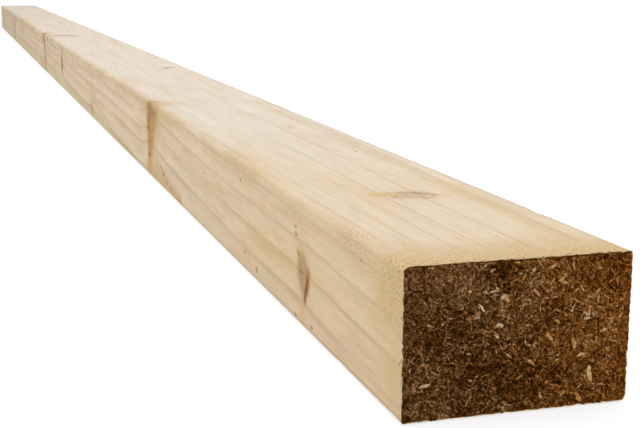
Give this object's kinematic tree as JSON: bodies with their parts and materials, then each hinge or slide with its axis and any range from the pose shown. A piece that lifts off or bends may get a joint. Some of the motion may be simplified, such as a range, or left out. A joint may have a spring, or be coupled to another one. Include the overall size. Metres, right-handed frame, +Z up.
{
  "type": "timber plank",
  "caption": "Straight softwood plank of rectangular section with eased arrises, pale planed faces with grain and knots, and a rough dark-brown sawn end. Framing stock.",
  "frame": {"origin": "middle of the broad face that the plank lies on", "axes": "+X along the length towards the dark sawn end, +Y across the width towards the back edge face, +Z up from the resting face"},
  "size_m": [2.4, 0.07, 0.045],
  "materials": {
    "planed_pine": "planed, unfinished softwood: pale cream with fine straight grain, small brown knots and eased arrises",
    "sawn_end": "rough, dark brown, matted with short fibres and small chips, some of them pale"
  },
  "bodies": {
    "root": {"plank": "planed_pine"}
  },
  "joints": []
}
